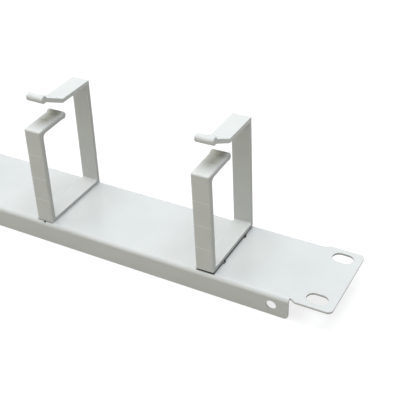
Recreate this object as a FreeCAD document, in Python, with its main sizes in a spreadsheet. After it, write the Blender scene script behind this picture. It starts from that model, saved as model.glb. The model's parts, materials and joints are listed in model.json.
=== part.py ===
import FreeCAD, Part
import math
import os
import Sketcher

# Rack cable management panel: a folded steel face for one rack unit of a 19 inch rack,
# carrying a row of snap-in moulded cable rings.
# Frame: X along the panel, Y across its width (from the viewer's edge to the far one),
# Z out of the face. X and Y are zero at the panel's middle, Z is zero at the flange edges.
# Every ring is drawn about its own zero point: the middle of its base, on the panel's face.

PARTS_FOLDER = "parts"
PICK_TOLERANCE = 1e-4

# The points of a sketch edge are numbered in this order.
POINT_ORDER = ("whole edge", "start", "end", "centre")
START = POINT_ORDER.index("start")
END = POINT_ORDER.index("end")
CENTRE = POINT_ORDER.index("centre")

# Driving sizes in millimetres and degrees: name, value, what it is.
SIZES = [
    ("panel_length", 482.6, "overall length, the 19 inch rack width"),
    ("panel_width", 44.0, "width of the face, one rack unit less its clearance"),
    ("sheet_thickness", 1.0, "steel sheet"),
    ("flange_drop", 11.5, "face to flange edge"),
    ("bend_inner_radius", 1.4, "inside radius of both bends"),
    ("flange_setback", 19.8, "panel end to flange end, which leaves the ear flat"),
    ("flange_corner_radius", 2.0, "free corners of the flanges"),
    ("ear_corner_radius", 2.5, "outer corners of the ears"),
    ("ear_lap", 2.0, "how far an ear runs into the face that it grows from"),
    ("relief_depth", 1.4, "bend relief, measured in from the ear's long edge"),
    ("relief_flat", 0.6, "bottom of the bend relief, beside the flange end"),
    ("relief_length", 2.9, "flange end to where the ear has its full width"),
    ("rack_slot_inset", 8.75, "panel end to slot centre, which puts the slots 465.1 apart"),
    ("rack_slot_spacing", 31.75, "slots of one ear, across the panel"),
    ("rack_slot_length", 10.0, "rack slot, end to end"),
    ("rack_slot_width", 6.8, "rack slot, clear for an M6 screw"),
    ("flange_hole_diameter", 5.0, "round hole near each flange end"),
    ("flange_hole_inset", 8.2, "flange end to hole centre"),
    ("flange_hole_drop", 6.2, "face to hole centre"),
    ("ring_count", 5, "rings in the row"),
    ("ring_row_inset", 61.3, "panel end to the first ring, which spaces the rings 90 apart"),
    ("ring_width", 9.3, "width of the moulded strip"),
    ("ring_front_reach", 20.6, "panel middle to the front post's outer face"),
    ("ring_rear_reach", 20.9, "panel middle to the rear post's outer face"),
    ("front_post_height", 51.3, "panel face to the lower arm's front corner"),
    ("arm_spacing", 8.2, "lower arm's front corner to the top of the top arm"),
    ("base_thickness", 1.8, "strip lying on the panel"),
    ("front_post_thickness", 2.3, "front post"),
    ("rear_post_thickness", 1.8, "rear post"),
    ("top_arm_thickness", 2.0, "top arm and its raised tip"),
    ("top_arm_length", 21.4, "rear post's outer face to the bend of the top arm"),
    ("tip_rise", 27.0, "angle at which the tip rises over the mouth"),
    ("tip_length", 14.4, "bend to the middle of the tip's bead"),
    ("tip_bead_radius", 1.95, "round bead across the tip"),
    ("lower_arm_thickness", 2.2, "lower arm"),
    ("lower_arm_rise", 1.8, "slope of the lower arm"),
    ("lower_arm_reach", 19.1, "front post's outer face to the middle of the end bead"),
    ("lower_bead_radius", 1.9, "round bead across the lower arm's end"),
    ("post_fillet", 0.8, "inside corners at the base and at the rear top"),
    ("gate_fillet", 2.2, "inside corner of front post and lower arm"),
    ("front_edge_radius", 1.0, "outer corner of front post and lower arm"),
    ("arm_bend_radius", 2.0, "underside of the top arm's bend"),
    ("soft_edge_radius", 0.8, "long outer edges of front post and lower arm"),
    ("bead_end_radius", 0.5, "edges of the tip bead's ends"),
    ("foot_spacing", 22.0, "the two feet, across the panel"),
    ("foot_width", 8.4, "foot, along the panel"),
    ("foot_slit", 0.9, "slit that lets a foot spring"),
    ("foot_root", 0.5, "how far a foot starts inside the base"),
    ("foot_tip_thickness", 2.2, "foot at its tip, across the panel"),
    ("foot_hole_width", 3.2, "foot hole, across the panel"),
    ("foot_clearance", 0.1, "foot to hole, across the panel"),
    ("foot_side_play", 0.5, "foot to hole, along the panel"),
    ("barb_overlap", 0.4, "barb past the edge of its hole"),
    ("barb_play", 0.7, "barb below the sheet"),
    ("barb_shoulder", 0.3, "rise of the barb's shoulder"),
    ("barb_length", 2.2, "barb's edge to the foot's tip"),
    ("loose_ring_number", 5, "which ring sits loosely, counted from the left"),
    ("loose_shift", 0.4, "how far that ring has slid to the left"),
    ("loose_lift", 0.3, "how far its base has risen off the panel"),
    ("loose_lean", 1.25, "angle at which it leans, turned about its left lower edge"),
]

# Places that several features share, worked out from the sizes above.
PANEL_END = "sizes.panel_length / 2"
LONG_EDGE = "sizes.panel_width / 2"
FLANGE_END = PANEL_END + " - sizes.flange_setback"
BEND_OUTER_RADIUS = "sizes.bend_inner_radius + sizes.sheet_thickness"
FACE = "sizes.flange_drop"
FRONT_OUTER = "-sizes.ring_front_reach"
FRONT_INNER = FRONT_OUTER + " + sizes.front_post_thickness"
REAR_OUTER = "sizes.ring_rear_reach"
REAR_INNER = REAR_OUTER + " - sizes.rear_post_thickness"
ARM_TOP = "(sizes.front_post_height + sizes.arm_spacing)"
ARM_UNDER = ARM_TOP + " - sizes.top_arm_thickness"
ARM_BEND = REAR_OUTER + " - sizes.top_arm_length"
TIP_COS = "cos(sizes.tip_rise * 1 deg)"
TIP_SIN = "sin(sizes.tip_rise * 1 deg)"
GATE_TOP = "sizes.front_post_height"
GATE_TAN = "tan(sizes.lower_arm_rise * 1 deg)"
GATE_COS = "cos(sizes.lower_arm_rise * 1 deg)"
GATE_END = FRONT_OUTER + " + sizes.lower_arm_reach"
GATE_END_TOP = GATE_TOP + " + sizes.lower_arm_reach * " + GATE_TAN
GATE_DEPTH = "sizes.lower_arm_thickness / " + GATE_COS
FOOT_MIDDLE = "sizes.foot_spacing / 2"
FOOT_HALF = "(sizes.foot_hole_width / 2 - sizes.foot_clearance)"
BARB_HALF = "(sizes.foot_hole_width / 2 + sizes.barb_overlap)"
BARB_TOP = "-(sizes.sheet_thickness + sizes.barb_play)"
BARB_EDGE = BARB_TOP + " - sizes.barb_shoulder"
FOOT_TIP = BARB_EDGE + " - sizes.barb_length"
ROW_START = "sizes.ring_row_inset - " + PANEL_END
ROW_LENGTH = "(sizes.panel_length - 2 * sizes.ring_row_inset)"
RING_PITCH = ROW_LENGTH + " / (sizes.ring_count - 1)"


def make_sheet(doc):
    """Write the driving sizes to a spreadsheet, one named cell each."""
    sheet = doc.addObject("Spreadsheet::Sheet", "sizes")
    for row, (name, value, meaning) in enumerate(SIZES, start=1):
        sheet.set("A%d" % row, meaning)
        sheet.set("B%d" % row, str(value))
        sheet.setAlias("B%d" % row, name)
    doc.recompute()
    return sheet


def value_of(owner, expression):
    """Return the number that an expression on the sheet gives now."""
    return float(owner.evalExpression(expression))


def make_body(doc, name):
    """Add a body whose label names its part file."""
    body = doc.addObject("PartDesign::Body", name)
    body.Label = name
    return body


def origin_feature(body, role):
    """Find one of the body's own origin planes or axes."""
    return next(item for item in body.Origin.OriginFeatures if item.Role == role)


def add_sketch(body, name, plane, height=None):
    """Attach a sketch to an origin plane, raised to a height given by an expression."""
    sketch = body.newObject("Sketcher::SketchObject", name)
    sketch.AttachmentSupport = (origin_feature(body, plane), [""])
    sketch.MapMode = "FlatFace"
    if height is not None:
        sketch.setExpression("AttachmentOffset.Base.z", height)
    return sketch


def dimension(sketch, name, expression, kind, *references):
    """Add a driving dimension and bind it to the sheet."""
    value = value_of(sketch, expression)
    index = sketch.addConstraint(Sketcher.Constraint(kind, *references, value))
    sketch.renameConstraint(index, name)
    sketch.setExpression("Constraints." + name, expression)


def draw_outline(sketch, name, corners):
    """Draw a closed outline of straight edges through corners placed by expressions.

    An edge whose two ends share an expression is kept level or upright by a constraint.
    """
    places = [FreeCAD.Vector(value_of(sketch, across), value_of(sketch, up), 0) for across, up in corners]
    first = sketch.GeometryCount
    last = len(corners) - 1
    for number, place in enumerate(places):
        following = places[0] if number == last else places[number + 1]
        sketch.addGeometry(Part.LineSegment(place, following))
    for number in range(len(corners)):
        joined = first if number == last else first + number + 1
        sketch.addConstraint(Sketcher.Constraint("Coincident", first + number, END, joined, START))
    for number, (across, up) in enumerate(corners):
        edge = first + number
        corner_name = "%s_%d" % (name, number + 1)
        if number > 0 and across == corners[number - 1][0]:
            sketch.addConstraint(Sketcher.Constraint("Vertical", edge - 1))
        else:
            dimension(sketch, corner_name + "_across", across, "DistanceX", edge, START)
        if number > 0 and up == corners[number - 1][1]:
            sketch.addConstraint(Sketcher.Constraint("Horizontal", edge - 1))
        else:
            dimension(sketch, corner_name + "_up", up, "DistanceY", edge, START)


def draw_circle(sketch, name, across, up, radius):
    """Draw a circle whose centre and radius are bound to the sheet."""
    centre = FreeCAD.Vector(value_of(sketch, across), value_of(sketch, up), 0)
    normal = FreeCAD.Vector(0, 0, 1)
    circle = sketch.addGeometry(Part.Circle(centre, normal, value_of(sketch, radius)))
    dimension(sketch, name + "_across", across, "DistanceX", circle, CENTRE)
    dimension(sketch, name + "_up", up, "DistanceY", circle, CENTRE)
    dimension(sketch, name + "_radius", radius, "Radius", circle)


def draw_slot(sketch, name, across, up, length, width):
    """Draw an oblong slot with round ends that runs across the sketch."""
    normal = FreeCAD.Vector(0, 0, 1)
    radius = value_of(sketch, width) / 2
    reach = value_of(sketch, length) / 2 - radius
    middle = FreeCAD.Vector(value_of(sketch, across), value_of(sketch, up), 0)
    right_centre = middle + FreeCAD.Vector(reach, 0, 0)
    left_centre = middle - FreeCAD.Vector(reach, 0, 0)
    side = FreeCAD.Vector(0, radius, 0)
    quarter = math.pi / 2
    right_round = Part.Circle(right_centre, normal, radius)
    left_round = Part.Circle(left_centre, normal, radius)
    right_end = sketch.addGeometry(Part.ArcOfCircle(right_round, -quarter, quarter))
    upper = sketch.addGeometry(Part.LineSegment(right_centre + side, left_centre + side))
    left_end = sketch.addGeometry(Part.ArcOfCircle(left_round, quarter, 3 * quarter))
    lower = sketch.addGeometry(Part.LineSegment(left_centre - side, right_centre - side))
    ring_of_edges = [right_end, upper, left_end, lower]
    for edge, following in zip(ring_of_edges, ring_of_edges[1:] + ring_of_edges[:1]):
        sketch.addConstraint(Sketcher.Constraint("Tangent", edge, END, following, START))
    sketch.addConstraint(Sketcher.Constraint("Horizontal", upper))
    sketch.addConstraint(Sketcher.Constraint("Horizontal", lower))
    half_straight = "(%s - %s) / 2" % (length, width)
    dimension(sketch, name + "_right", "%s + %s" % (across, half_straight), "DistanceX", right_end, CENTRE)
    dimension(sketch, name + "_left", "%s - %s" % (across, half_straight), "DistanceX", left_end, CENTRE)
    dimension(sketch, name + "_up", up, "DistanceY", right_end, CENTRE)
    dimension(sketch, name + "_radius", width + " / 2", "Radius", right_end)


def pad_profile(body, name, sketch, length, side="Symmetric", downward=False):
    """Pad a sketch to a length given by an expression."""
    pad = body.newObject("PartDesign::Pad", name)
    pad.Profile = sketch
    pad.SideType = side
    pad.Reversed = downward
    pad.setExpression("Length", length)
    body.Document.recompute()
    return pad


def cut_through(body, name, sketch, side="One side"):
    """Cut a sketch right through the body and make sure that it takes something away."""
    before = body.Shape.Volume
    pocket = body.newObject("PartDesign::Pocket", name)
    pocket.Profile = sketch
    pocket.Type = "ThroughAll"
    pocket.SideType = side
    body.Document.recompute()
    if body.Shape.Volume >= before:
        raise RuntimeError(name + " cut nothing")
    return pocket


def mirror_features(body, name, plane, features):
    """Repeat features on the other side of one of the body's origin planes."""
    mirror = body.newObject("PartDesign::Mirrored", name)
    mirror.Originals = features
    mirror.MirrorPlane = (origin_feature(body, plane), [""])
    body.Tip = mirror
    body.Document.recompute()


def repeat_along(body, name, feature, axis, length, count):
    """Repeat a feature in a row along one of the body's origin axes."""
    row = body.newObject("PartDesign::LinearPattern", name)
    row.Originals = [feature]
    row.Direction = (origin_feature(body, axis), [""])
    row.setExpression("Length", length)
    row.setExpression("Occurrences", count)
    body.Tip = row
    body.Document.recompute()


def round_edges(body, name, radius, places):
    """Fillet the edges that pass through places, each given by three expressions."""
    tip = body.Tip
    picked = []
    for place in places:
        point = FreeCAD.Vector(*[value_of(body, coordinate) for coordinate in place])
        for number, edge in enumerate(tip.Shape.Edges, start=1):
            if edge.distToShape(Part.Vertex(point))[0] < PICK_TOLERANCE:
                picked.append("Edge%d" % number)
    if len(picked) != len(places):
        raise RuntimeError("%s found %d edges for %d places" % (name, len(picked), len(places)))
    fillet = body.newObject("PartDesign::Fillet", name)
    fillet.Base = (tip, picked)
    fillet.setExpression("Radius", radius)
    body.Document.recompute()


def make_panel(doc):
    """Fold the steel face: a channel with two flanges, and a flat ear at each end."""
    body = make_body(doc, "panel")

    section = add_sketch(body, "channel_section", "YZ_Plane")
    near_inner = "-%s + sizes.sheet_thickness" % LONG_EDGE
    far_inner = "%s - sizes.sheet_thickness" % LONG_EDGE
    inside = FACE + " - sizes.sheet_thickness"
    draw_outline(section, "wall", [
        ("-" + LONG_EDGE, "0"),
        ("-" + LONG_EDGE, FACE),
        (LONG_EDGE, FACE),
        (LONG_EDGE, "0"),
        (far_inner, "0"),
        (far_inner, inside),
        (near_inner, inside),
        (near_inner, "0"),
    ])
    pad_profile(body, "channel", section, "2 * (%s)" % FLANGE_END)
    outer_bends = [("0", "-" + LONG_EDGE, FACE), ("0", LONG_EDGE, FACE)]
    round_edges(body, "outer_bends", BEND_OUTER_RADIUS, outer_bends)
    inner_bends = [("0", near_inner, inside), ("0", far_inner, inside)]
    round_edges(body, "inner_bends", "sizes.bend_inner_radius", inner_bends)
    flange_corners = [
        (end + "(%s)" % FLANGE_END, side + "(%s - sizes.sheet_thickness / 2)" % LONG_EDGE, "0")
        for end in ("", "-")
        for side in ("", "-")
    ]
    round_edges(body, "flange_corners", "sizes.flange_corner_radius", flange_corners)

    hole = add_sketch(body, "flange_hole_place", "XZ_Plane")
    hole_across = "%s - sizes.flange_hole_inset" % FLANGE_END
    hole_up = FACE + " - sizes.flange_hole_drop"
    draw_circle(hole, "hole", hole_across, hole_up, "sizes.flange_hole_diameter / 2")
    flange_holes = cut_through(body, "flange_holes", hole, side="Symmetric")

    outline = add_sketch(body, "ear_outline", "XY_Plane", FACE)
    lap = FLANGE_END + " - sizes.ear_lap"
    bend_line = "%s - (%s)" % (LONG_EDGE, BEND_OUTER_RADIUS)
    relief_bottom = LONG_EDGE + " - sizes.relief_depth"
    relief_corner = FLANGE_END + " + sizes.relief_flat"
    relief_end = FLANGE_END + " + sizes.relief_length"
    far_side = [
        (lap, bend_line),
        (FLANGE_END, bend_line),
        (FLANGE_END, relief_bottom),
        (relief_corner, relief_bottom),
        (relief_end, LONG_EDGE),
        (PANEL_END, LONG_EDGE),
    ]
    near_side = [(across, "-(%s)" % up) for across, up in reversed(far_side)]
    draw_outline(outline, "ear", far_side + near_side)
    ear = pad_profile(body, "ear", outline, "sizes.sheet_thickness", side="One side", downward=True)

    slots = add_sketch(body, "rack_slot_places", "XY_Plane", FACE)
    slot_across = PANEL_END + " - sizes.rack_slot_inset"
    for name, up in (("near", "-sizes.rack_slot_spacing / 2"), ("far", "sizes.rack_slot_spacing / 2")):
        draw_slot(slots, name, slot_across, up, "sizes.rack_slot_length", "sizes.rack_slot_width")
    rack_slots = cut_through(body, "rack_slots", slots)
    mirror_features(body, "left_end", "YZ_Plane", [flange_holes, ear, rack_slots])

    half_sheet = FACE + " - sizes.sheet_thickness / 2"
    ear_corners = [
        (end + PANEL_END, side + LONG_EDGE, half_sheet)
        for end in ("", "-")
        for side in ("", "-")
    ]
    round_edges(body, "ear_corners", "sizes.ear_corner_radius", ear_corners)

    holes = add_sketch(body, "foot_hole_places", "XY_Plane", FACE)
    hole_reach = "(sizes.foot_width / 2 + sizes.foot_side_play)"
    for name, side in (("near", "-"), ("far", "")):
        low = "%s%s - sizes.foot_hole_width / 2" % (side, FOOT_MIDDLE)
        high = "%s%s + sizes.foot_hole_width / 2" % (side, FOOT_MIDDLE)
        left = "%s - %s" % (ROW_START, hole_reach)
        right = "%s + %s" % (ROW_START, hole_reach)
        draw_outline(holes, name, [(left, low), (right, low), (right, high), (left, high)])
    foot_holes = cut_through(body, "foot_holes", holes)
    repeat_along(body, "foot_hole_row", foot_holes, "X_Axis", ROW_LENGTH, "sizes.ring_count")
    return body


def make_cable_ring(doc, number):
    """Mould one open cable ring: a flat strip bent round the cables, with two spring feet."""
    body = make_body(doc, "cable_ring_%d" % number)

    tip_top = (
        "%s - sizes.tip_length * %s" % (ARM_BEND, TIP_COS),
        "%s + sizes.tip_length * %s" % (ARM_TOP, TIP_SIN),
    )
    tip_under = (
        "%s - sizes.top_arm_thickness * %s" % (tip_top[0], TIP_SIN),
        "%s - sizes.top_arm_thickness * %s" % (tip_top[1], TIP_COS),
    )
    bend_shift = "sizes.top_arm_thickness * tan(sizes.tip_rise / 2 * 1 deg)"
    arm_bend_under = "%s - %s" % (ARM_BEND, bend_shift)
    gate_under = "%s - %s" % (GATE_TOP, GATE_DEPTH)
    gate_inner_under = "%s + sizes.front_post_thickness * %s" % (gate_under, GATE_TAN)
    gate_end_under = "%s - %s" % (GATE_END_TOP, GATE_DEPTH)

    side_view = add_sketch(body, "side_view", "YZ_Plane")
    draw_outline(side_view, "strip", [
        (FRONT_OUTER, "0"),
        (REAR_OUTER, "0"),
        (REAR_OUTER, ARM_TOP),
        (ARM_BEND, ARM_TOP),
        tip_top,
        tip_under,
        (arm_bend_under, ARM_UNDER),
        (REAR_INNER, ARM_UNDER),
        (REAR_INNER, "sizes.base_thickness"),
        (FRONT_INNER, "sizes.base_thickness"),
        (FRONT_INNER, gate_inner_under),
        (GATE_END, gate_end_under),
        (GATE_END, GATE_END_TOP),
        (FRONT_OUTER, GATE_TOP),
    ])
    pad_profile(body, "strip", side_view, "sizes.ring_width")
    round_edges(body, "inside_corners", "sizes.post_fillet", [
        ("0", REAR_INNER, ARM_UNDER),
        ("0", REAR_INNER, "sizes.base_thickness"),
        ("0", FRONT_INNER, "sizes.base_thickness"),
    ])
    round_edges(body, "gate_corner", "sizes.gate_fillet", [("0", FRONT_INNER, gate_inner_under)])
    round_edges(body, "front_edge", "sizes.front_edge_radius", [("0", FRONT_OUTER, GATE_TOP)])
    round_edges(body, "arm_bend", "sizes.arm_bend_radius", [("0", arm_bend_under, ARM_UNDER)])

    beads = add_sketch(body, "bead_places", "YZ_Plane")
    tip_middle = ["(%s + %s) / 2" % pair for pair in zip(tip_top, tip_under)]
    draw_circle(beads, "tip_bead", tip_middle[0], tip_middle[1], "sizes.tip_bead_radius")
    gate_middle = "%s - %s / 2" % (GATE_END_TOP, GATE_DEPTH)
    draw_circle(beads, "lower_bead", GATE_END, gate_middle, "sizes.lower_bead_radius")
    pad_profile(body, "beads", beads, "sizes.ring_width")
    soft_edges = []
    bead_ends = []
    for side in ("", "-"):
        edge = side + "sizes.ring_width / 2"
        soft_edges.append((edge, FRONT_OUTER, "sizes.front_post_height / 2"))
        soft_edges.append((edge, GATE_END, "%s + sizes.lower_bead_radius" % gate_middle))
        bead_ends.append((edge, tip_middle[0], "%s + sizes.tip_bead_radius" % tip_middle[1]))
    round_edges(body, "soft_edges", "sizes.soft_edge_radius", soft_edges)
    round_edges(body, "bead_ends", "sizes.bead_end_radius", bead_ends)

    foot_view = add_sketch(body, "foot_view", "YZ_Plane")
    for name, side in (("inner", "-"), ("outer", "+")):
        at_slit = "%s %s sizes.foot_slit / 2" % (FOOT_MIDDLE, side)
        at_leg = "%s %s %s" % (FOOT_MIDDLE, side, FOOT_HALF)
        at_barb = "%s %s %s" % (FOOT_MIDDLE, side, BARB_HALF)
        at_tip = "%s %s sizes.foot_tip_thickness / 2" % (FOOT_MIDDLE, side)
        draw_outline(foot_view, name, [
            (at_slit, "sizes.foot_root"),
            (at_leg, "sizes.foot_root"),
            (at_leg, BARB_TOP),
            (at_barb, BARB_EDGE),
            (at_tip, FOOT_TIP),
            (at_slit, FOOT_TIP),
        ])
    foot = pad_profile(body, "rear_foot", foot_view, "sizes.foot_width")
    mirror_features(body, "front_foot", "XZ_Plane", [foot])

    seat_ring(body, number)
    return body


def seat_ring(body, number):
    """Place a ring over its holes; the loose one has slid, risen a little and leans to the left."""
    across = "%s + %d * %s" % (ROW_START, number - 1, RING_PITCH)
    height = FACE
    if number == round(value_of(body, "sizes.loose_ring_number")):
        lean = "sizes.loose_lean * 1 deg"
        body.Placement.Rotation = FreeCAD.Rotation(FreeCAD.Vector(0, -1, 0), 1)
        across = "%s - sizes.loose_shift - sizes.ring_width / 2 * (1 - cos(%s))" % (across, lean)
        height = "%s + sizes.loose_lift + sizes.ring_width / 2 * sin(%s)" % (height, lean)
        body.setExpression(".Placement.Rotation.Angle", lean)
    body.setExpression(".Placement.Base.x", across)
    body.setExpression(".Placement.Base.z", height)
    body.Document.recompute()


def check_document(doc, bodies):
    """Stop if any object failed or any part isn't one sound solid."""
    for item in doc.Objects:
        if "Invalid" in item.State or "Error" in item.State:
            raise RuntimeError("%s failed: %s" % (item.Name, item.State))
    for body in bodies:
        shape = body.Shape
        if shape.isNull() or not shape.isValid() or len(shape.Solids) != 1:
            raise RuntimeError(body.Label + " isn't one sound solid")


def main():
    doc = FreeCAD.newDocument("cable_panel")
    sheet = make_sheet(doc)
    bodies = [make_panel(doc)]
    ring_count = round(value_of(sheet, "sizes.ring_count"))
    for number in range(1, ring_count + 1):
        bodies.append(make_cable_ring(doc, number))
    doc.recompute()
    check_document(doc, bodies)
    os.makedirs(PARTS_FOLDER, exist_ok=True)
    for body in bodies:
        body.Shape.exportStep(os.path.join(PARTS_FOLDER, body.Label + ".step"))
        print(body.Label, "volume %.1f mm3" % body.Shape.Volume)


main()
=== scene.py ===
import json
import math

import bpy
from mathutils import Matrix, Vector

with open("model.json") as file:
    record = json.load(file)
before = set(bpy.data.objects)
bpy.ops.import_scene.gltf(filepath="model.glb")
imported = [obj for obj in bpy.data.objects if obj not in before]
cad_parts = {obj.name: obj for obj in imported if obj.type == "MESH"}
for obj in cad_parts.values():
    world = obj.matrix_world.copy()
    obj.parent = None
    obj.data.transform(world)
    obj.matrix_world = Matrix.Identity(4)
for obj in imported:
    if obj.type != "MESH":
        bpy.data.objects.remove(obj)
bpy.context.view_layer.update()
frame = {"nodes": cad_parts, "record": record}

# Rack cable management panel on a white ground, seen from the front right and above.
# Lengths are in metres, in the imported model's own frame.

MM = 0.001

# The camera, worked out from the panel's known sizes.
CAMERA_PLACE = Vector((0.32682, -0.28626, 0.25898))
CAMERA_AZIMUTH = math.radians(29.199)
CAMERA_ELEVATION = math.radians(34.419)
CAMERA_ROLL = math.radians(-1.831)
CAMERA_SENSOR = 36.0
CAMERA_LENS = 77.12
CAMERA_NEAR = 0.01
CAMERA_FAR = 20.0

# Light: a broad lamp overhead, a weaker one from the left, one from the front and a faint sky.
SKY_COLOR = (1.0, 0.985, 0.925)
SKY_STRENGTH = 0.13
TOP_LAMP_COLOR = (0.875, 0.904, 1.0)
TOP_LAMP_STRENGTH = 3.6
TOP_LAMP_TILT = (0.0, 0.0, 0.0)
LEFT_LAMP_COLOR = (1.0, 1.0, 0.845)
LEFT_LAMP_STRENGTH = 1.3
LEFT_LAMP_TILT = (0.0, math.radians(-45), 0.0)
FRONT_LAMP_COLOR = (1.0, 0.932, 0.865)
FRONT_LAMP_STRENGTH = 1.0
FRONT_LAMP_TILT = (math.radians(85), 0.0, 0.0)
LAMP_SPREAD = math.radians(50)

# Background: what the camera and reflections see past the object.
BACKGROUND_COLOR = (1.0, 1.0, 1.0)
BACKGROUND_STRENGTH = 1.0

# Floor: white to the camera and in reflections, a mid grey to the light that it gives back.
FLOOR_HALF_SIZE = 3.0
FLOOR_BOUNCE = (0.31, 0.30, 0.255)
FLOOR_GLOW = 0.82
FLOOR_SHADOW = (0.19, 0.19, 0.19)

# Places of a colour mix's two colours among its inputs, and of its colour among its outputs.
MIX_COLORS = (6, 7)
MIX_RESULT = 2

# The whole span of an amount, and the parts of a noise that colour and roughness are spread over.
WHOLE = (0.0, 1.0)
COLOR_SPAN = (0.35, 0.65)
ROUGHNESS_SPAN = (0.3, 0.7)

# Powder coat. A pattern is its repeats per metre and its detail, and a bump its height and strength.
COAT_COLOR = (0.550, 0.566, 0.545)
COAT_COLOR_SHADE = (0.533, 0.549, 0.528)
COAT_MOTTLE = (60, 3)
COAT_CLOUD = (240, 2)
COAT_ROUGHNESS = (0.18, 0.26)
COAT_SPECULAR = 0.5
COAT_EDGE_RADIUS = 0.22 * MM
COAT_PEEL = (620, 2)
COAT_PEEL_BUMP = (0.06 * MM, 0.7)
COAT_GRAIN = (2600, 1)
COAT_GRAIN_BUMP = (0.01 * MM, 0.5)

# Moulded plastic, given in the same way.
PLASTIC_COLOR = (0.582, 0.598, 0.575)
PLASTIC_COLOR_SHADE = (0.562, 0.578, 0.556)
PLASTIC_FLOW = (110, 3)
PLASTIC_CLOUD = (400, 2)
PLASTIC_ROUGHNESS = (0.42, 0.52)
PLASTIC_EDGE_RADIUS = 0.25 * MM
PLASTIC_GRAIN = (3200, 2)
PLASTIC_GRAIN_BUMP = (0.012 * MM, 0.5)

# Painted shade on the panel along the rings' seats, in the gap under the loose ring and in its hole ends,
# and one small dark spot.
RING_PITCH = 90.0 * MM
SHADE_AND_SPOT_COLOR = (0.055, 0.056, 0.05)
SEAT_MIDDLE = (0.0, 0.0)
SEAT_HALF = (4.75 * MM, 20.95 * MM)
SEAT_SHADE_AMOUNT = 0.5
LOOSE_MIDDLE = (179.8 * MM, -4.4 * MM)
LOOSE_HALF = (4.6 * MM, 16.4 * MM)
HOLE_MIDDLE = (184.8 * MM, 11.0 * MM)
HOLE_HALF = (0.5 * MM, 1.1 * MM)
SPOT_MIDDLE = (89.9 * MM, -20.9 * MM)
SPOT_HALF = (0.6 * MM, 0.45 * MM)

# Faint pale tool marks across the front posts.
WITNESS_HEIGHTS = (24.0 * MM, 36.4 * MM, 49.1 * MM)
WITNESS_HALF_WIDTH = 0.2 * MM
WITNESS_COLOR = (0.90, 0.91, 0.90)
WITNESS_AMOUNT = 0.35
FRONT_FACE_Y = -20.3 * MM

# Darker line across the lower arms, and a painted shadow of the top arm's tip as a darker patch at their
# beads, both fading from the middle outwards.
ARM_SHADE = (0.22, 0.225, 0.205)
ARM_LINE_MIDDLE = (-1.2 * MM, -10.0 * MM, 62.6 * MM)
ARM_LINE_HALF = (4.2 * MM, 0.55 * MM, 3.0 * MM)
ARM_LINE_SHADE = 0.42
BEAD_SHADOW_MIDDLE = (0.4 * MM, -2.4 * MM, 63.4 * MM)
BEAD_SHADOW_HALF = (4.0 * MM, 3.6 * MM, 4.0 * MM)
BEAD_SHADOW_AMOUNT = 0.6
SPOT_FADE = (0.3, 1.0)

# Painted light on the cut sides of the top arms, which makes them paler.
TOP_ARM_LOW = 69.0 * MM
TOP_ARM_SIDEWAYS = 0.7
TOP_ARM_SIDE_LIGHT_COLOR = (0.84, 0.86, 0.83)
TOP_ARM_SIDE_LIGHT = 0.45


def add_camera():
    """Place the camera by its position, its two angles and its roll."""
    back = Vector((
        math.sin(CAMERA_AZIMUTH) * math.cos(CAMERA_ELEVATION),
        -math.cos(CAMERA_AZIMUTH) * math.cos(CAMERA_ELEVATION),
        math.sin(CAMERA_ELEVATION),
    ))
    level_right = Vector((math.cos(CAMERA_AZIMUTH), math.sin(CAMERA_AZIMUTH), 0.0))
    level_up = back.cross(level_right)
    right = math.cos(CAMERA_ROLL) * level_right + math.sin(CAMERA_ROLL) * level_up
    up = back.cross(right)
    data = bpy.data.cameras.new("camera")
    data.sensor_width = CAMERA_SENSOR
    data.lens = CAMERA_LENS
    data.clip_start = CAMERA_NEAR
    data.clip_end = CAMERA_FAR
    camera = bpy.data.objects.new("camera", data)
    turned = Matrix((right, up, back)).transposed()
    camera.matrix_world = Matrix.Translation(CAMERA_PLACE) @ turned.to_4x4()
    bpy.context.scene.collection.objects.link(camera)
    bpy.context.scene.camera = camera


def add_lamp(name, color, strength, tilt):
    """Add a broad distant lamp, kept out of reflections; its light falls the same everywhere."""
    data = bpy.data.lights.new(name, "SUN")
    data.color = color
    data.energy = strength
    data.angle = LAMP_SPREAD
    lamp = bpy.data.objects.new(name, data)
    lamp.rotation_euler = tilt
    lamp.visible_glossy = False
    bpy.context.scene.collection.objects.link(lamp)


def add_math(nodes, links, operation, *operands):
    """Add one math step on sockets and numbers and return its result."""
    node = nodes.new("ShaderNodeMath")
    node.operation = operation
    for socket, operand in zip(node.inputs, operands):
        if isinstance(operand, float):
            socket.default_value = operand
        else:
            links.new(operand, socket)
    return node.outputs[0]


def seen_directly(nodes, links):
    """Return a socket that is 1 for the camera, for reflections and for what shows through."""
    path = nodes.new("ShaderNodeLightPath").outputs
    either = add_math(nodes, links, "MAXIMUM", path["Is Camera Ray"], path["Is Glossy Ray"])
    return add_math(nodes, links, "MAXIMUM", either, path["Is Transmission Ray"])


def make_world():
    """A plain soft sky that looks white and lights gently."""
    world = bpy.data.worlds.new("studio")
    world.use_nodes = True
    nodes, links = world.node_tree.nodes, world.node_tree.links
    nodes.clear()
    sky = nodes.new("ShaderNodeBackground")
    sky.inputs["Color"].default_value = (*SKY_COLOR, 1.0)
    sky.inputs["Strength"].default_value = SKY_STRENGTH
    white = nodes.new("ShaderNodeBackground")
    white.inputs["Color"].default_value = (*BACKGROUND_COLOR, 1.0)
    white.inputs["Strength"].default_value = BACKGROUND_STRENGTH
    mix = nodes.new("ShaderNodeMixShader")
    output = nodes.new("ShaderNodeOutputWorld")
    links.new(seen_directly(nodes, links), mix.inputs[0])
    links.new(sky.outputs[0], mix.inputs[1])
    links.new(white.outputs[0], mix.inputs[2])
    links.new(mix.outputs[0], output.inputs["Surface"])
    bpy.context.scene.world = world


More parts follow.
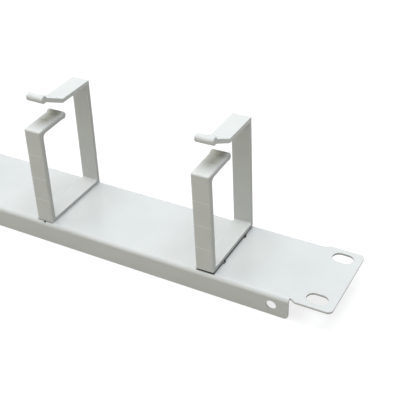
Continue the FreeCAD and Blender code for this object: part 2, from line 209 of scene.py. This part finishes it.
def make_floor():
    """A large white ground that keeps the object's shadow."""
    mesh = bpy.data.meshes.new("floor")
    half = FLOOR_HALF_SIZE
    corners = [(-half, -half, 0.0), (half, -half, 0.0), (half, half, 0.0), (-half, half, 0.0)]
    mesh.from_pydata(corners, [], [(0, 1, 2, 3)])
    floor = bpy.data.objects.new("floor", mesh)
    bpy.context.scene.collection.objects.link(floor)
    material = bpy.data.materials.new("white_ground")
    material.use_nodes = True
    nodes, links = material.node_tree.nodes, material.node_tree.links
    nodes.clear()
    bounce = nodes.new("ShaderNodeBsdfDiffuse")
    bounce.inputs["Color"].default_value = (*FLOOR_BOUNCE, 1.0)
    glow = nodes.new("ShaderNodeEmission")
    glow.inputs["Strength"].default_value = FLOOR_GLOW
    shadow = nodes.new("ShaderNodeBsdfDiffuse")
    shadow.inputs["Color"].default_value = (*FLOOR_SHADOW, 1.0)
    shown = nodes.new("ShaderNodeAddShader")
    mix = nodes.new("ShaderNodeMixShader")
    output = nodes.new("ShaderNodeOutputMaterial")
    links.new(glow.outputs[0], shown.inputs[0])
    links.new(shadow.outputs[0], shown.inputs[1])
    links.new(seen_directly(nodes, links), mix.inputs[0])
    links.new(bounce.outputs[0], mix.inputs[1])
    links.new(shown.outputs[0], mix.inputs[2])
    links.new(mix.outputs[0], output.inputs["Surface"])
    mesh.materials.append(material)


def start_material(name):
    """Return a new material, its nodes and links, its shader and the place on the object."""
    material = bpy.data.materials.new(name)
    material.use_nodes = True
    nodes, links = material.node_tree.nodes, material.node_tree.links
    place = nodes.new("ShaderNodeTexCoord").outputs["Object"]
    return material, nodes, links, nodes["Principled BSDF"], place


def add_noise(nodes, links, place, scale, detail):
    """Add a noise pattern read at a place, with its scale in repeats per metre."""
    noise = nodes.new("ShaderNodeTexNoise")
    noise.inputs["Scale"].default_value = scale
    noise.inputs["Detail"].default_value = detail
    links.new(place, noise.inputs["Vector"])
    return noise.outputs["Fac"]


def add_range(nodes, links, source, span, new_span):
    """Rescale a value from one span to another."""
    scaled = nodes.new("ShaderNodeMapRange")
    scaled.inputs["From Min"].default_value, scaled.inputs["From Max"].default_value = span
    scaled.inputs["To Min"].default_value, scaled.inputs["To Max"].default_value = new_span
    links.new(source, scaled.inputs["Value"])
    return scaled.outputs["Result"]


def add_bump(nodes, links, height, distance, strength, under):
    """Turn a height into a surface direction over another one."""
    bump = nodes.new("ShaderNodeBump")
    bump.inputs["Distance"].default_value = distance
    bump.inputs["Strength"].default_value = strength
    links.new(height, bump.inputs["Height"])
    links.new(under, bump.inputs["Normal"])
    return bump.outputs["Normal"]


def soft_edges(nodes, radius):
    """Return a surface direction that rounds the sharp edges."""
    rounded = nodes.new("ShaderNodeBevel")
    rounded.inputs["Radius"].default_value = radius
    return rounded.outputs[0]


def add_color_mix(nodes, links, amount, first, second):
    """Blend two colours by an amount."""
    mix = nodes.new("ShaderNodeMix")
    mix.data_type = "RGBA"
    links.new(amount, mix.inputs["Factor"])
    for number, color in zip(MIX_COLORS, (first, second)):
        if isinstance(color, tuple):
            mix.inputs[number].default_value = (*color, 1.0)
        else:
            links.new(color, mix.inputs[number])
    return mix.outputs[MIX_RESULT]


def split(nodes, links, vector):
    """Return a vector's X, Y and Z."""
    apart = nodes.new("ShaderNodeSeparateXYZ")
    links.new(vector, apart.inputs[0])
    return apart.outputs[0], apart.outputs[1], apart.outputs[2]


def from_ring(nodes, links, along):
    """Return how far a place along the panel is from its nearest ring's middle."""
    return add_math(nodes, links, "WRAP", along, RING_PITCH / 2, -RING_PITCH / 2)


def in_box(nodes, links, along, across, middle, half):
    """Return a socket that is 1 in an upright box."""
    by_length = add_math(nodes, links, "COMPARE", along, middle[0], half[0])
    by_depth = add_math(nodes, links, "COMPARE", across, middle[1], half[1])
    return add_math(nodes, links, "MULTIPLY", by_length, by_depth)


def seat_shade_and_spot(nodes, links, place):
    """Return how much painted shade lies along the rings' seats, most of it in the gap under the loose ring
    and in its hole ends, and one small dark spot.
    """
    along, across, _ = split(nodes, links, place)
    near_ring = from_ring(nodes, links, along)
    either_side = add_math(nodes, links, "ABSOLUTE", across)
    seats = in_box(nodes, links, near_ring, across, SEAT_MIDDLE, SEAT_HALF)
    most = add_math(nodes, links, "MULTIPLY", seats, SEAT_SHADE_AMOUNT)
    loose = in_box(nodes, links, along, across, LOOSE_MIDDLE, LOOSE_HALF)
    holes = in_box(nodes, links, along, either_side, HOLE_MIDDLE, HOLE_HALF)
    spot = in_box(nodes, links, along, across, SPOT_MIDDLE, SPOT_HALF)
    for mark in (loose, holes, spot):
        most = add_math(nodes, links, "MAXIMUM", most, mark)
    return most


def powder_coat():
    """Light grey powder coat: semi-gloss, with a fine orange peel."""
    material, nodes, links, shader, place = start_material("powder_coat")
    mottle = add_range(nodes, links, add_noise(nodes, links, place, *COAT_MOTTLE), COLOR_SPAN, WHOLE)
    coat = add_color_mix(nodes, links, mottle, COAT_COLOR, COAT_COLOR_SHADE)
    # Painted shade at the seats, under the loose ring and in its hole ends, and one small dark spot, darken
    # the coat.
    shade_and_spot = seat_shade_and_spot(nodes, links, place)
    links.new(add_color_mix(nodes, links, shade_and_spot, coat, SHADE_AND_SPOT_COLOR), shader.inputs["Base Color"])
    cloud = add_noise(nodes, links, place, *COAT_CLOUD)
    links.new(add_range(nodes, links, cloud, ROUGHNESS_SPAN, COAT_ROUGHNESS), shader.inputs["Roughness"])
    rounded = soft_edges(nodes, COAT_EDGE_RADIUS)
    peel = add_noise(nodes, links, place, *COAT_PEEL)
    waves = add_bump(nodes, links, peel, *COAT_PEEL_BUMP, rounded)
    grain = add_noise(nodes, links, place, *COAT_GRAIN)
    links.new(add_bump(nodes, links, grain, *COAT_GRAIN_BUMP, waves), shader.inputs["Normal"])
    shader.inputs["Specular IOR Level"].default_value = COAT_SPECULAR
    return material


def witness_lines(nodes, links, place):
    """Return how strongly the faint tool marks show across the front posts."""
    _, across, up = split(nodes, links, place)
    lines = [add_math(nodes, links, "COMPARE", up, height, WITNESS_HALF_WIDTH) for height in WITNESS_HEIGHTS]
    total = lines[0]
    for line in lines[1:]:
        total = add_math(nodes, links, "ADD", total, line)
    in_front = add_math(nodes, links, "LESS_THAN", across, FRONT_FACE_Y)
    marks = add_math(nodes, links, "MULTIPLY", total, in_front)
    return add_range(nodes, links, marks, WHOLE, (0.0, WITNESS_AMOUNT))


def soft_spot(nodes, links, place, middle, half, amount):
    """Return an amount that fades out from a middle to the edge of a rounded region."""
    for operation, operand in (("SUBTRACT", middle), ("DIVIDE", half)):
        step = nodes.new("ShaderNodeVectorMath")
        step.operation = operation
        step.inputs[1].default_value = operand
        links.new(place, step.inputs[0])
        place = step.outputs[0]
    distance = nodes.new("ShaderNodeVectorMath")
    distance.operation = "LENGTH"
    links.new(place, distance.inputs[0])
    return add_range(nodes, links, distance.outputs["Value"], SPOT_FADE, (amount, 0.0))


def arm_shade(nodes, links, place):
    """Return how much darker the lower arm is along its cross line, and where a shadow of the top arm's tip
    is painted at its bead.
    """
    along, across, up = split(nodes, links, place)
    joined = nodes.new("ShaderNodeCombineXYZ")
    for socket, part in zip(joined.inputs, (from_ring(nodes, links, along), across, up)):
        links.new(part, socket)
    own_place = joined.outputs[0]
    line = soft_spot(nodes, links, own_place, ARM_LINE_MIDDLE, ARM_LINE_HALF, ARM_LINE_SHADE)
    # A painted shadow of the top arm's tip darkens the lower arm at its bead.
    bead_shadow = soft_spot(nodes, links, own_place, BEAD_SHADOW_MIDDLE, BEAD_SHADOW_HALF, BEAD_SHADOW_AMOUNT)
    return add_math(nodes, links, "MAXIMUM", line, bead_shadow)


def lit_top_arm_sides(nodes, links, place):
    """Return how much painted light makes the cut sides of the top arm and its tip paler."""
    facing, _, _ = split(nodes, links, nodes.new("ShaderNodeNewGeometry").outputs["Normal"])
    sideways = add_math(nodes, links, "ABSOLUTE", facing)
    on_side = add_math(nodes, links, "GREATER_THAN", sideways, TOP_ARM_SIDEWAYS)
    _, _, up = split(nodes, links, place)
    high = add_math(nodes, links, "GREATER_THAN", up, TOP_ARM_LOW)
    both = add_math(nodes, links, "MULTIPLY", on_side, high)
    return add_math(nodes, links, "MULTIPLY", both, TOP_ARM_SIDE_LIGHT)


def ring_plastic():
    """Light grey moulded plastic: satin, with a fine spark-eroded grain."""
    material, nodes, links, shader, place = start_material("ring_plastic")
    flow = add_range(nodes, links, add_noise(nodes, links, place, *PLASTIC_FLOW), COLOR_SPAN, WHOLE)
    color = add_color_mix(nodes, links, flow, PLASTIC_COLOR, PLASTIC_COLOR_SHADE)
    for marks, mark_color in (
        (witness_lines, WITNESS_COLOR),
        (arm_shade, ARM_SHADE),
        # painted light on the top arms' cut sides
        (lit_top_arm_sides, TOP_ARM_SIDE_LIGHT_COLOR),
    ):
        color = add_color_mix(nodes, links, marks(nodes, links, place), color, mark_color)
    links.new(color, shader.inputs["Base Color"])
    cloud = add_noise(nodes, links, place, *PLASTIC_CLOUD)
    links.new(add_range(nodes, links, cloud, ROUGHNESS_SPAN, PLASTIC_ROUGHNESS), shader.inputs["Roughness"])
    rounded = soft_edges(nodes, PLASTIC_EDGE_RADIUS)
    grain = add_noise(nodes, links, place, *PLASTIC_GRAIN)
    links.new(add_bump(nodes, links, grain, *PLASTIC_GRAIN_BUMP, rounded), shader.inputs["Normal"])
    return material


def dress_nodes():
    """Give every CAD node its finish."""
    finishes = {"powder_coat": powder_coat(), "ring_plastic": ring_plastic()}
    for part in frame["record"]["subparts"]:
        node = frame["nodes"][part["node"]]
        node.data.materials.clear()
        node.data.materials.append(finishes[part["material_slot"]])


add_camera()
add_lamp("top_lamp", TOP_LAMP_COLOR, TOP_LAMP_STRENGTH, TOP_LAMP_TILT)
add_lamp("left_lamp", LEFT_LAMP_COLOR, LEFT_LAMP_STRENGTH, LEFT_LAMP_TILT)
add_lamp("front_lamp", FRONT_LAMP_COLOR, FRONT_LAMP_STRENGTH, FRONT_LAMP_TILT)
make_world()
make_floor()
dress_nodes()
bpy.context.scene.view_settings.view_transform = "Standard"
